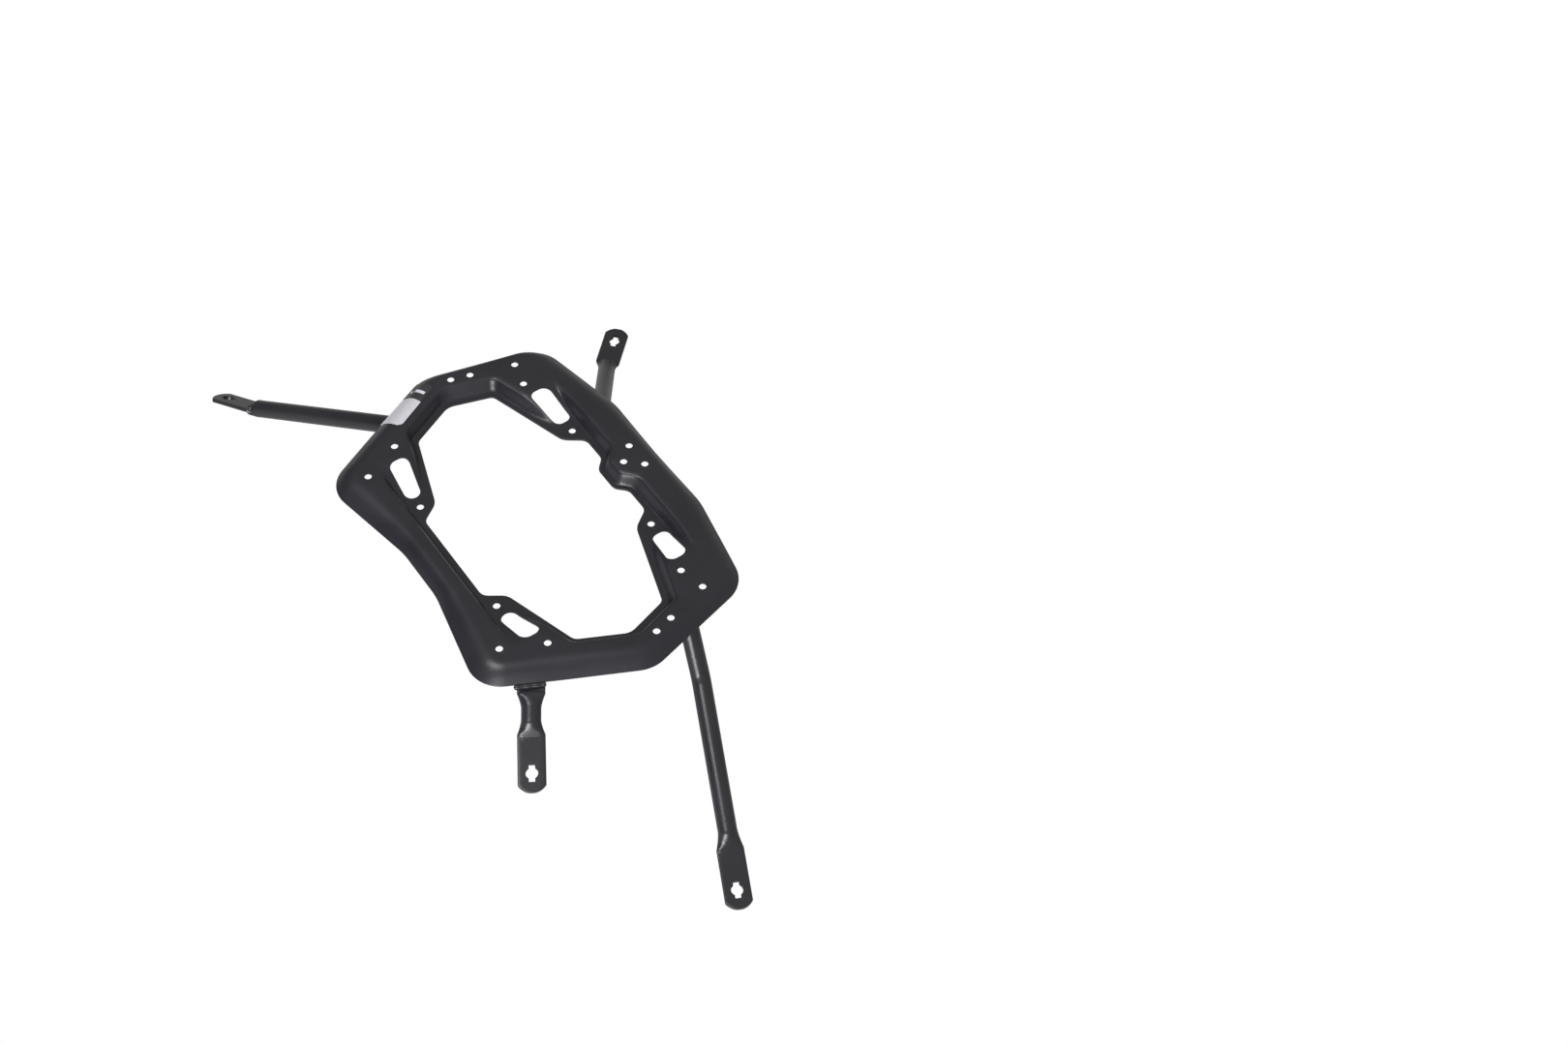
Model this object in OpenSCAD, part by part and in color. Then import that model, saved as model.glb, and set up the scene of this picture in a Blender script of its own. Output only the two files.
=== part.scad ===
// Pannier frame: a pressed sheet steel ring carried by four welded tube stays
// X runs along the ring, Y across it and Z out of its face, in millimetres
// The origin is the middle of the four case bolts, on the face's top surface

/* [Pressed frame] */
// Length of the opening, from point to point
opening_len = 310; // [300:1:320]
// Height of the opening, between the two long bars
opening_h = 170.2; // [164:0.2:178]
// Width of each end, from the opening's point to the rim
end_w = 42; // [39:0.5:46]
// Width of the upper bar, from opening to rim
upper_bar_w = 44; // [41:0.5:48]
// Width of the lower bar, from opening to rim
lower_bar_w = 33.2; // [31:0.2:37]
// Depth of the pressing, from the face down to the rim
press_depth = 12.2; // [9:0.2:14]
// Thickness of the sheet
sheet_t = 2; // [1.5:0.1:2.5]
// Width of the tongue in the middle of the upper bar
tongue_w = 26; // [22:1:30]
// How far the tongue stands into the opening
tongue_h = 10.2; // [8:0.2:12]
// Clear width between the noses of the corner webs
nose_gap = 124; // [116:1:130]
// Distance of the web noses from the middle line
nose_y = 67; // [64:0.5:70]
// Where the web begins to rise, from the middle
ramp_start = 74; // [71:1:78]
// Where the web reaches the face, from the middle
ramp_end = 123; // [119:1:125]

/* [Holes] */
// Bore of every round bolt hole
bolt_d = 6.6; // [5.5:0.1:7]
// Case bolts' distance in from the opening's point
bolt_in = 23.9; // [22:0.1:25]
// Case bolts' distance outside the long bars' edge line
bolt_out = 16.6; // [15.6:0.2:17.2]
// Spacing of the nose bolts along X
nose_bolt_dx = 131.7; // [129:0.1:134]
// Spacing of the nose bolts along Y
nose_bolt_dy = 160.8; // [158:0.2:163]
// Spacing of the two outer upper bolts along X
outer_upper_dx = 312.4; // [309:0.2:315]
// Spacing of the two outer lower bolts along X
outer_lower_dx = 226.4; // [222:0.2:230]
// Spacing of the pair beside the tongue along X
tongue_bolt_dx = 26; // [24:0.5:29]

/* [Stays] */
// Outer diameter of the stay tube
tube_d = 17.1; // [16:0.1:18]
// Wall of the stay tube
tube_wall = 1.8; // [1.4:0.1:2.2]
// Width of a flattened tab
tab_w = 24; // [23:0.1:26]
// Thickness of a flattened tab
tab_t = 4; // [3.6:0.1:5]
// Radius of a tab's rounded end
tab_end_r = 14; // [13.2:0.2:16]
// From a tab's hole to its end
tab_end = 16.8; // [15.8:0.2:18]
// Round part of a tab's hole
tab_hole_d = 10.6; // [10:0.2:11.6]
// Width of the two notches of a tab's hole
notch_w = 5.4; // [4.6:0.2:6.2]
// Length over the two notches
notch_len = 15.4; // [14.6:0.2:16.6]
// Leg of a weld bead
bead = 2.6; // [2:0.1:3.2]

/* [Labels] */
// Thickness of a label
label_t = 0.25; // [0.2:0.05:0.4]

/* [Hidden] */

// Key places of the ring that its lines are tied to
point_x = opening_len / 2;
bar_y = opening_h / 2;
rim_x = point_x + end_w;
rim_top = bar_y + upper_bar_w;
rim_low = -bar_y - lower_bar_w;
nose_x = nose_gap / 2;
web_top = [point_x - 12.5, bar_y - 43.9];
web_low = [point_x - 21.5, 41.2 - bar_y];
bolt_x = point_x - bolt_in;
bolt_y = bar_y - bolt_out;
mid_z = -sheet_t / 2;
rim_z = mid_z - press_depth;
// Every stay meets the plane of the rim, the lip and the face from below
rim_under = rim_z - sheet_t / 2;
face_under = -sheet_t;

// Foot of the bars' inner wall and its top, outside the bars' edge line
wall_foot = 6;
low_foot_y = bar_y + wall_foot + 0.8;
upper_wall_top = 12;
lower_wall_top = 10.6;
// Distances of the end walls' foot and top from the opening's edge
edge_foot = 6;
end_foot = edge_foot + 0.7;
edge_top = [12, 13.5, 11.5, 9.5];
// Share of a wall's run that each of its two bends takes, and of the shoulder's
wall_bend = 0.35;
shoulder_bend = 0.75;
// Steps along each corner of the ring and along each edge that follows it
corner_steps = [2, 2, 2, 2, 2, 2, 4, 4, 2, 4, 2, 2, 2, 2];
edge_steps = [0, 0, 1, 1, 5, 1, 3, 2, 1, 5, 0, 0, 1];
last = len(edge_steps);

// A point on the straight web edge between a nose and an end corner
function on_web(nose, corner, x) = nose + (corner - nose) * (x - nose[0]) / (corner[0] - nose[0]);

// Half of each line of the ring, from the middle of the upper bar round to the lower
// Each point is x, y and how far its corner is rounded back along its edges
OPENING = [
    [0, bar_y - tongue_h, 1], [tongue_w / 2, bar_y - tongue_h, 4],
    [tongue_w / 2 + tongue_h, bar_y, 4], [nose_x - 13, bar_y, 5], [nose_x, nose_y, 5],
    [each on_web([nose_x, nose_y], web_top, ramp_end - 2), 6], [each web_top, 4],
    [point_x, 0, 6], [each web_low, 4],
    [each on_web([nose_x, -nose_y], web_low, ramp_end - 5), 6], [nose_x, -nose_y, 5],
    [nose_x - 12.4, -bar_y, 5], [28, -bar_y, 5], [0, -bar_y, 3]
];

// Unit vector along v
function unit(v) = v / norm(v);
// The two numbers of a point on a line, without its corner
function xy(p) = [p[0], p[1]];
// Unit vector to the metal's side of the edge from a to b
function outward(a, b) = let (d = unit(b - a)) [-d[1], d[0]];
// Corner p of a line when the edges before and after it move outwards by a and b
function moved(p, n1, n2, a, b) =
    let (det = n1[0] * n2[1] - n1[1] * n2[0])
    abs(det) < 0.01 ? p + n1 * a
    : p + [a * n2[1] - b * n1[1], b * n1[0] - a * n2[0]] / det;
// The half line when each edge moves outwards by its own distance
function widened(line, d, round) = [
    for (i = [0:last])
        let (p = xy(line[i]),
             n1 = i > 0 ? outward(xy(line[i - 1]), p) : outward(p, xy(line[1])),
             n2 = i < last ? outward(p, xy(line[i + 1])) : n1)
        [each moved(p, n1, n2, d[max(i - 1, 0)], d[min(i, last - 1)]), line[i][2] + round]
];

// Foot and top of the wall that follows the opening round the webs and ends
EDGE_FOOT = widened(OPENING,
    [1.5, 1.8, 2, 3, edge_foot, edge_foot, end_foot, end_foot, edge_foot, edge_foot, 3, 2, 2], 1);
EDGE_TOP = widened(OPENING,
    [3, 3.6, 4, 5, edge_top[0], edge_top[0], edge_top[1], edge_top[2], edge_top[3], edge_top[3], 5, 4.2, 4.2], 2);

// Foot of the bars' straight inner wall, which runs on across the webs
BAR_FOOT = [
    [0, bar_y - tongue_h + 4.7, 3], [tongue_w / 2 - 2, bar_y - tongue_h + 4.7, 4],
    [tongue_w / 2 + tongue_h - 2.2, bar_y + wall_foot, 5], [nose_x - 9, bar_y + wall_foot, 6],
    [nose_x + 8, bar_y + wall_foot, 6], [ramp_end - 1, bar_y + wall_foot, 6],
    [point_x + 3, bar_y - 13.1, 8], [point_x + 18, 0, 8], [point_x - 11, web_low[1] - 12.1, 6],
    [ramp_end - 1.5, -low_foot_y, 6], [nose_x + 8, -low_foot_y, 6],
    [nose_x - 8, -low_foot_y, 6], [28, -low_foot_y, 5], [0, -low_foot_y, 3]
];
BAR_TOP = [
    [0, bar_y - tongue_h + 10.7, 3], [tongue_w / 2 - 4, bar_y - tongue_h + 10.7, 3.5],
    [tongue_w / 2 + tongue_h, bar_y + upper_wall_top, 6], [nose_x - 8, bar_y + upper_wall_top, 6],
    [nose_x + 10, bar_y + upper_wall_top, 6], [ramp_end + 0.5, bar_y + upper_wall_top - 1.8, 6],
    [point_x + 5.5, bar_y - 4.6, 10], [point_x + 21.3, 0, 10], [point_x - 10, web_low[1] - 16.4, 6],
    [ramp_end - 0.5, -bar_y - lower_wall_top - 1, 6], [nose_x + 11, -bar_y - lower_wall_top, 6],
    [nose_x - 6.5, -bar_y - lower_wall_top, 6], [28, -bar_y - lower_wall_top, 5],
    [0, -bar_y - lower_wall_top, 3]
];
// Edge of the flat face, where the outer shoulder begins
FACE_EDGE = [
    [0, rim_top - 14.5, 3], [13, rim_top - 14.5, 6], [25, rim_top - 14.7, 6], [53, rim_top - 17, 10],
    [74, rim_top - 19.7, 12], [ramp_end + 2, rim_top - 29.7, 6], [point_x + 8, rim_top - 40.1, 14],
    [rim_x - 17.5, 0, 14], [point_x - 9, web_low[1] - 20.5, 6], [rim_x - 73, rim_low + 4.5, 9],
    [77, rim_low + 10.8, 10], [57, rim_low + 13.4, 8], [28, rim_low + 14, 8], [0, rim_low + 14, 3]
];
// Cut edge of the rim
RIM = [
    [0, rim_top, 3], [14, rim_top + 0.2, 6], [26, rim_top + 0.4, 6], [52, rim_top + 1.1, 8],
    [70, rim_top + 1.5, 18], [ramp_end + 2, rim_top - 9.4, 6], [point_x + 12.4, rim_top - 18.1, 27],
    [rim_x, -4.1, 12], [point_x + 8.4, web_low[1] - 29.5, 6], [rim_x - 66.2, rim_low - 20.1, 26.5],
    [80, rim_low - 10.2, 6], [56, rim_low - 5.5, 6], [28, rim_low, 8], [0, rim_low, 3]
];

// Share t of the way round the corner at v, as a circular arc between its two edges
function corner(a, v, b, reach, t) =
    let (p = v + unit(a - v) * reach, q = v + unit(b - v) * reach,
         w = norm(p - q) / 2 / reach,
         s = 1 - t, k = s * s + 2 * s * t * w + t * t)
    (p * s * s + v * 2 * s * t * w + q * t * t) / k;
// The half line with each corner's reach held under half of the edges beside it
function fitted(line) = [
    for (i = [0:last])
        let (p = xy(line[i]),
             before = i > 0 ? norm(p - xy(line[i - 1])) : 2 * line[1][0],
             after = i < last ? norm(p - xy(line[i + 1])) : 2 * line[last - 1][0])
        [each p, min(line[i][2], 0.45 * before, 0.45 * after)]
];
// All stations of a half line, then of the whole ring by mirroring it
function half_stations(line) = [
    for (i = [0:last])
        let (v = xy(line[i]),
             a = i > 0 ? xy(line[i - 1]) : [-line[1][0], line[1][1]],
             b = i < last ? xy(line[i + 1]) : [-line[i - 1][0], line[i - 1][1]],
             m = corner_steps[i],
             first = i > 0 ? 0 : m / 2, final = i < last ? m : m / 2)
        each concat(
            [for (k = [first:final]) corner(a, v, b, line[i][2], k / m)],
            i == last ? [] :
                let (c = i + 1 < last ? xy(line[i + 2]) : [-line[last - 1][0], line[last - 1][1]],
                     p = corner(a, v, b, line[i][2], 1), q = corner(v, b, c, line[i + 1][2], 0))
                [for (k = [1:1:edge_steps[i]]) p + (q - p) * k / (edge_steps[i] + 1)])
];
function ring_stations(line) =
    let (h = half_stations(line), n = len(h))
    concat(h, [for (i = [n - 2:-1:1]) [-h[i][0], h[i][1]]]);

// Rise from 0 to 1 with a bend at both ends, and with one at its start only
function wall_rise(t) =
    let (k = wall_bend)
    (t < k ? t * t / 2 / k : t > 1 - k ? 1 - k - pow(1 - t, 2) / 2 / k : t - k / 2) / (1 - k);
function shoulder_drop(t) =
    let (k = shoulder_bend)
    (t < k ? t * t / 2 / k : t - k / 2) / (1 - k / 2);
// Share of the pressing's depth that the web has reached at x
function ramp(x) = wall_rise(min(1, max(0, (abs(x) - ramp_start) / (ramp_end - ramp_start))));

// Rows across the ring: the two lines it lies between, its share of the way,
// then the rise of the edge wall, the rise of the bar wall and the shoulder's drop
WALL_STEPS = [0.25, 0.5, 0.75, 1];
ROWS = concat(
    [[0, 0, 0, 0, 0], [0, 1, 0, 0, 0]],
    [for (t = WALL_STEPS) [1, t, wall_rise(t), 0, 0]],
    [for (t = [0.5, 1]) [2, t, 1, 0, 0]],
    [for (t = WALL_STEPS) [3, t, 1, wall_rise(t), 0]],
    [for (t = [0.5, 1]) [4, t, 1, 1, 0]],
    [for (t = [0.18, 0.4, 0.66, 1]) [5, t, 1, 1, shoulder_drop(t)]]
);
FACE_ROW = len(ROWS) - 5;
LINES = [for (l = [OPENING, EDGE_FOOT, EDGE_TOP, BAR_FOOT, BAR_TOP, FACE_EDGE, RIM]) ring_stations(fitted(l))];
STATIONS = len(LINES[0]);

// Middle of the sheet at station u of row r
function sheet_at(u, r) =
    let (a = LINES[r[0]][u], b = LINES[r[0] + 1][u], p = a + (b - a) * r[1],
         edge = r[2] * ramp(p[0]), rise = edge + r[3] - edge * r[3])
    [p[0], p[1], mid_z - press_depth * (1 - rise + r[4])];
SHEET = [for (u = [0:STATIONS - 1]) [for (r = ROWS) sheet_at(u, r)]];
// Upward normal of the sheet at station u of row v
function normal_at(u, v) =
    let (along = SHEET[(u + 1) % STATIONS][v] - SHEET[(u + STATIONS - 1) % STATIONS][v],
         across = SHEET[u][min(v + 1, len(ROWS) - 1)] - SHEET[u][max(v - 1, 0)])
    unit(cross(across, along));
// Skin of the sheet at height h above its middle, station by station
function skin(h) = [
    for (u = [0:STATIONS - 1])
        [for (v = [0:len(ROWS) - 1]) SHEET[u][v] + normal_at(u, v) * h]
];

// Closed solid between two grids of points, the rows of which close round if loop is true
module slab(top, under, loop) {
    m = len(top);
    n = len(top[0]);
    k = m * n;
    strips = loop ? m - 1 : m - 2;
    points = concat([for (row = top) each row], [for (row = under) each row]);
    quads = [for (i = [0:strips], j = [0:n - 2])
        let (a = i * n + j, b = (i + 1) % m * n + j) [a, b, b + 1, a + 1]];
    faces = concat(
        [for (q = quads) each [[q[0], q[1], q[2]], [q[0], q[2], q[3]]]],
        [for (q = quads) each [[k + q[2], k + q[1], k + q[0]], [k + q[3], k + q[2], k + q[0]]]],
        [for (i = [0:strips])
            let (a = i * n, b = (i + 1) % m * n)
            each [[b, a, k + a], [b, k + a, k + b],
                  [a + n - 1, b + n - 1, k + b + n - 1], [a + n - 1, k + b + n - 1, k + a + n - 1]]],
        loop ? [] : [for (j = [0:n - 2])
            let (a = j, b = (m - 1) * n + j)
            each [[a, a + 1, k + a + 1], [a, k + a + 1, k + a],
                  [b + 1, b, k + b], [b + 1, k + b, k + b + 1]]]
    );
    polyhedron(points = points, faces = faces, convexity = 8);
}

// Corners of the web slots: x, y and how far each is rounded
UPPER_SLOT = [[78, 88.6, 7], [118, 85.4, 8], [118, 64.8, 8], [78, 72.1, 6]];
LOWER_SLOT = [[77, -72.2, 6], [117, -64.2, 8], [117, -84.2, 8], [77, -86.4, 8]];
slot_corner_steps = 5;
module slot(points) {
    n = len(points);
    outline = [for (i = [0:n - 1], k = [0:slot_corner_steps])
        corner(xy(points[(i + n - 1) % n]), xy(points[i]), xy(points[(i + 1) % n]),
            points[i][2], k / slot_corner_steps)];
    translate([0, 0, 2 * rim_z]) linear_extrude(-3 * rim_z) polygon(outline);
}
module bolt_hole(x, y) {
    translate([x, y, 2 * rim_z]) cylinder(d = bolt_d, h = -3 * rim_z, $fn = 32);
}
// Places of the round holes on the right half, which the left half repeats
BOLTS = [
    [bolt_x, bolt_y], [bolt_x, -bolt_y], [nose_bolt_dx / 2, nose_bolt_dy / 2],
    [nose_bolt_dx / 2, -nose_bolt_dy / 2], [outer_upper_dx / 2, bolt_y + 5.7],
    [outer_lower_dx / 2, -bolt_y - 37], [point_x + 13.2, 32.7], [point_x + 18, 14.8],
    [tongue_bolt_dx / 2, bar_y + 23.8]
];

module pressed_frame() {
    color([0.2, 0.2, 0.22])
    difference() {
        slab(skin(sheet_t / 2), skin(-sheet_t / 2), true);
        for (side = [-1, 1]) {
            for (b = BOLTS) bolt_hole(side * b[0], b[1]);
        }
        bolt_hole(0, bar_y + 9.3);
        for (points = [UPPER_SLOT, LOWER_SLOT]) {
            slot(points);
            mirror([1, 0, 0]) slot(points);
        }
    }
}

// Labels lie over the shoulder of the left end, whose stations are counted along its half line
label_gap = 0.1;
LABEL_STEPS = 6;
function half_count(i) =
    i == 0 ? corner_steps[0] / 2 + 1 : half_count(i - 1) + edge_steps[i - 1] + corner_steps[i] + 1;
point_station = half_count(7) - 1;
// Point of the left half's top skin at height h, at a station that need not be whole
function left_skin(u, v, h) =
    let (a = STATIONS - floor(u), b = a - 1, t = u - floor(u))
    (SHEET[a][v] + normal_at(a, v) * h) * (1 - t) + (SHEET[b][v] + normal_at(b, v) * h) * t;
// Cuts across the labels in plan, each from its face side to its rim side
LABEL_CUTS = [[[-173, -3.5], [-193.3, -9.9]], [[-163.1, -22], [-183.9, -30.6]], [[-143.9, -58.3], [-164.6, -68.1]]];
// Station of row v that lies on a cut, found by halving the range between two stations
function cut_station(cut, v, low, high, times) =
    let (m = (low + high) / 2, p = xy(left_skin(m, v, 0)) - cut[0], d = cut[1] - cut[0])
    times == 0 ? m : p[0] * d[1] - p[1] * d[0] > 0 ? cut_station(cut, v, m, high, times - 1)
    : cut_station(cut, v, low, m, times - 1);
// A label between two cuts, held back from them by its margins in stations
module label(cuts, margins) {
    first = FACE_ROW - 3;
    rows = len(ROWS) - 1 - first;
    ENDS = [for (v = [0:rows]) [for (k = [0, 1])
        cut_station(cuts[k], first + v, point_station - 6, point_station + 5, 12) + margins[k]]];
    function cells(h) = [
        for (k = [0:LABEL_STEPS])
            [for (v = [0:rows])
                left_skin(ENDS[v][1] + (ENDS[v][0] - ENDS[v][1]) * k / LABEL_STEPS, first + v, h)]
    ];
    low = sheet_t / 2 + label_gap;
    slab(cells(low + label_t), cells(low), false);
}
module white_label() {
    color([0.86, 0.86, 0.9])
    label([LABEL_CUTS[1], LABEL_CUTS[2]], [0, 0]);
}
module clear_label() {
    color([0.35, 0.33, 0.34])
    label([LABEL_CUTS[0], LABEL_CUTS[1]], [0, -0.06]);
}

// Each stay is a tube with a flattened tab, whose route runs along the middle of the tube
// from the tab's tip, by way of rounded elbows, to its seat under the ring
weld_gap = 0.15;
elbow_reach = 8;

// Middle of each tab's hole, and the elbow where its tab and its tube meet
LEFT_HOLE = [-375, -134.6, -126.9];
LEFT_ELBOW = [-339.9, -120.2, -115];
UPPER_HOLE = [-219.5, 224.4, -117.2];
UPPER_ELBOW = [-197.8, 201.3, -118.6];
RIGHT_HOLE = [363.6, -31.2, -121.6];
RIGHT_ELBOW = [331.5, -15.6, -115];
RIGHT_KNEE = [202.5, 41.5, -60];
SHORT_HOLE = [point_x + 54, web_low[1] - 91.1, -45.2];
SHORT_ELBOW = [point_x + 20.5, web_low[1] - 70.6, -34.5];
// How far each tab lies above the middle of its tube, as a share of what is free
left_flush = 0;
upper_flush = 0.3;
right_flush = -0.8;
short_flush = -0.4;
short_seat_flush = 0.3;
// Length of each tab that is quite flat, and of the neck between it and the round tube
left_flat = 56.2;
upper_flat = 46.8;
right_flat = 54.5;
short_flat = 51;
short_seat_flat = 23.5;
left_neck = 7;
upper_neck = 9;
right_neck = 15;
short_neck = 12;
// The left tab is turned about its own length
left_roll = 22;

// Seats of the stays on the ring: the left and the upper stay end upright behind the inner wall,
// at these distances from the opening's edge, and the right stay ends under the face
left_along = 31.7;
left_back = 10.1;
left_seat_z = rim_under - 3.4;
upper_back = 13.65;
// The left half's edge of the opening below its point, and the direction away from it
LEFT_EDGE = unit([point_x, 0] - web_low);
LEFT_NORMAL = [-LEFT_EDGE[1], -LEFT_EDGE[0], 0];
LEFT_SEAT = [-point_x, 0, left_seat_z] + [LEFT_EDGE[0], -LEFT_EDGE[1], 0] * left_along + LEFT_NORMAL * left_back;
UPPER_NORMAL = [0, 1, 0];
UPPER_SEAT = [-51.3, bar_y + upper_back, rim_under - 0.15];
RIGHT_SEAT = [point_x + 8.1, 50.4, face_under - 1.9];
RIGHT_NORMAL = [0.02, 0, 1];
// Middle of the short stay's level end, whose top lies under the rim
short_seat_z = rim_under + 0.35 - weld_gap - tab_t / 2 - short_seat_flush * (tube_d - tab_t) / 2;
SHORT_SEAT = [rim_x - 61, web_low[1] - 45.1, short_seat_z];
SHORT_KNEE = [point_x - 4.6, web_low[1] - 53.8, short_seat_z];

// Distance along the path to its point i, and the point at distance s
function reach(path, i) = i == 0 ? 0 : reach(path, i - 1) + norm(path[i] - path[i - 1]);
function place(path, s, i = 0) =
    let (d = norm(path[i + 1] - path[i]))
    i >= len(path) - 2 || s <= d ? path[i] + (path[i + 1] - path[i]) * s / d : place(path, s - d, i + 1);
// Fall from 1 to 0 as t goes from 0 to 1, with a crease at its start and none at its end
function fall(t) = pow(1 - min(1, max(0, t)), 1.5);
// Share of the width at angle a of a section that is round at power 2 and boxy above it
function boxy(c, power) = sign(c) * pow(abs(c), 2 / power);
// The route with each elbow rounded
ELBOW_STEPS = 6;
function eased(route) = [
    for (i = [0:len(route) - 1])
        each i == 0 || i == len(route) - 1 ? [route[i]]
        : [for (k = [0:ELBOW_STEPS])
            corner(route[i - 1], route[i], route[i + 1], elbow_reach, k / ELBOW_STEPS)]
];
// Upward normal of a stay that runs along t, turned by roll about it
function above(t, roll) =
    let (w = unit(cross(t, [0, 0, 1])))
    cross(w, t) * cos(roll) - w * sin(roll);
// Middle of the tube at the tab's tip, for a hole and the elbow behind it
function tip(hole, elbow, lift, roll) =
    hole + unit(hole - elbow) * tab_end - above(unit(elbow - hole), roll) * lift;
function lift_of(flush) = flush * (tube_d - tab_t) / 2;

// Stations along a stay: its rounded tip, its neck, its elbows and its end
TIP_STATIONS = [0.15, 0.8, 2, 3.8, 5.6, 7.1];
NECK_SHARES = [0, 0.04, 0.15, 0.35, 0.6, 1];
cope_reach = 13;
function stations(path, flat, neck, seat_flat) =
    let (total = reach(path, len(path) - 1), seat_neck = seat_flat > 0 ? total - seat_flat - neck : total)
    concat(
        TIP_STATIONS,
        [flat - 9, flat - 3],
        [for (k = NECK_SHARES) flat + neck * k],
        [for (i = [1:len(path) - 2])
            let (s = reach(path, i))
            if (s > flat + neck + 1 && s < min(seat_neck, total - cope_reach) - 1) s],
        seat_flat > 0
        ? [each [for (k = [5:-1:0]) total - seat_flat - neck * NECK_SHARES[k]], total]
        : [total - cope_reach, total]
    );

// Section of a stay at distance s: a ring of points in the plane across its path, or near its
// seat in planes parallel to the seat
function section(path, s, flat, neck, lift, roll, seat_flat, seat_lift, seat_normal, inset, sides) =
    let (total = reach(path, len(path) - 1), c = place(path, s),
         t = unit(place(path, s + 1.5) - place(path, max(s - 1.5, 0))),
         f = fall((s - flat) / neck), g = seat_flat > 0 ? fall((total - s - seat_flat) / neck) : 0,
         n = above(t, roll * f), w = cross(t, n), k = max(f, g),
         coped = seat_flat == 0 && total - s <= cope_reach,
         round_w = s < tab_end_r ? sqrt(pow(tab_end_r, 2) - pow(tab_end_r - s, 2)) : tab_w,
         half_w = min((tube_d + (tab_w - tube_d) * k) / 2, round_w) - inset,
         half_h = max((tube_d - (tube_d - tab_t) * k) / 2 - inset, 0.2),
         up = f * lift + g * seat_lift, power = 2 + 4 * pow(k, 3))
    [for (i = [0:sides - 1])
        let (a = 360 * i / sides,
             p = c + n * up + w * half_w * boxy(cos(a), power) + n * half_h * boxy(sin(a), power))
        coped ? p + t * (seat_normal * (c - p)) / (seat_normal * t) : p];
// Closed tube through sections that all have as many points
module tube_body(sections) {
    m = len(sections);
    n = len(sections[0]);
    faces = concat(
        [for (i = [1:n - 2]) [0, i + 1, i]],
        [for (j = [0:m - 2], i = [0:n - 1])
            let (a = j * n + i, b = j * n + (i + 1) % n)
            each [[a, b, b + n], [a, b + n, a + n]]],
        [for (i = [1:n - 2]) [(m - 1) * n, (m - 1) * n + i, (m - 1) * n + i + 1]]
    );
    polyhedron(points = [for (r = sections) each r], faces = faces, convexity = 6);
}
// Hole of a tab, with a notch on either side along the tab
module tab_hole(hole, elbow, roll) {
    d = unit(hole - elbow);
    translate(hole) rotate([roll, -asin(d[2]), atan2(d[1], d[0])]) {
        translate([0, 0, -tube_d]) cylinder(d = tab_hole_d, h = 2 * tube_d, $fn = 48);
        cube([notch_len, notch_w, 2 * tube_d], center = true);
    }
}
OUTER_SIDES = 28;
INNER_SIDES = 20;
// A stay that is hollow from its neck to its seat
module stay(hole, elbow, knees, seat, seat_normal, flush, roll, flat, neck) {
    lift = lift_of(flush);
    path = eased([tip(hole, elbow, lift, roll), elbow, each knees, seat]);
    total = reach(path, len(path) - 1);
    bore = [for (s = stations(path, flat, neck, 0)) if (s >= flat && s < total) s];
    past = [each path, seat + unit(seat - path[len(path) - 2]) * 4];
    difference() {
        tube_body([for (s = stations(path, flat, neck, 0))
            section(path, s, flat, neck, lift, roll, 0, 0, seat_normal, 0, OUTER_SIDES)]);
        tube_body([for (s = [each bore, total + 3])
            section(past, s, flat, neck, lift, roll, 0, 0, seat_normal, tube_wall, INNER_SIDES)]);
        tab_hole(hole, elbow, roll);
    }
}
module left_stay() {
    color([0.19, 0.19, 0.21])
    stay(LEFT_HOLE, LEFT_ELBOW, [], LEFT_SEAT, LEFT_NORMAL, left_flush, left_roll, left_flat, left_neck);
}
module upper_stay() {
    color([0.21, 0.2, 0.21])
    stay(UPPER_HOLE, UPPER_ELBOW, [], UPPER_SEAT, UPPER_NORMAL, upper_flush, 0, upper_flat, upper_neck);
}
module right_stay() {
    color([0.19, 0.19, 0.21])
    stay(RIGHT_HOLE, RIGHT_ELBOW, [RIGHT_KNEE], RIGHT_SEAT, RIGHT_NORMAL, right_flush, 0, right_flat, right_neck);
}

// The short stay is flattened at both ends, and its upper end lies welded under the rim
bead_ends = [14.8, 42.5];
// How far the rim's cut edge leans out over its own line
rim_lean = 0.65;
module rim_bead() {
    corner_low = xy(RIM[8]);
    d = unit(xy(RIM[9]) - corner_low);
    start = corner_low + d * bead_ends[0];
    translate([each start, rim_under - weld_gap - 0.3]) rotate([0, 0, atan2(d[1], d[0])])
    difference() {
        translate([0, rim_lean, 0]) rotate([0, 90, 0])
            cylinder(r = bead, h = bead_ends[1] - bead_ends[0], $fn = 24);
        translate([-1, rim_lean + weld_gap - 2 * bead, -bead]) cube([bead_ends[1], 2 * bead, 2 * bead]);
    }
}
module short_stay() {
    lift = lift_of(short_flush);
    seat_lift = lift_of(short_seat_flush);
    path = eased([tip(SHORT_HOLE, SHORT_ELBOW, lift, 0), SHORT_ELBOW, SHORT_KNEE, SHORT_SEAT]);
    color([0.19, 0.19, 0.21]) {
        difference() {
            tube_body([for (s = stations(path, short_flat, short_neck, short_seat_flat))
                section(path, s, short_flat, short_neck, lift, 0, short_seat_flat, seat_lift, [0, 0, 1], 0,
                    OUTER_SIDES)]);
            tab_hole(SHORT_HOLE, SHORT_ELBOW, 0);
        }
        rim_bead();
    }
}

pressed_frame();
left_stay();
upper_stay();
right_stay();
short_stay();
white_label();
clear_label();
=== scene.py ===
"""Looks of a pannier frame: a pressed sheet ring on four welded tube stays, in black powder coat."""
import bpy
import math
import numpy as np
from mathutils import Matrix, Vector


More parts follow.
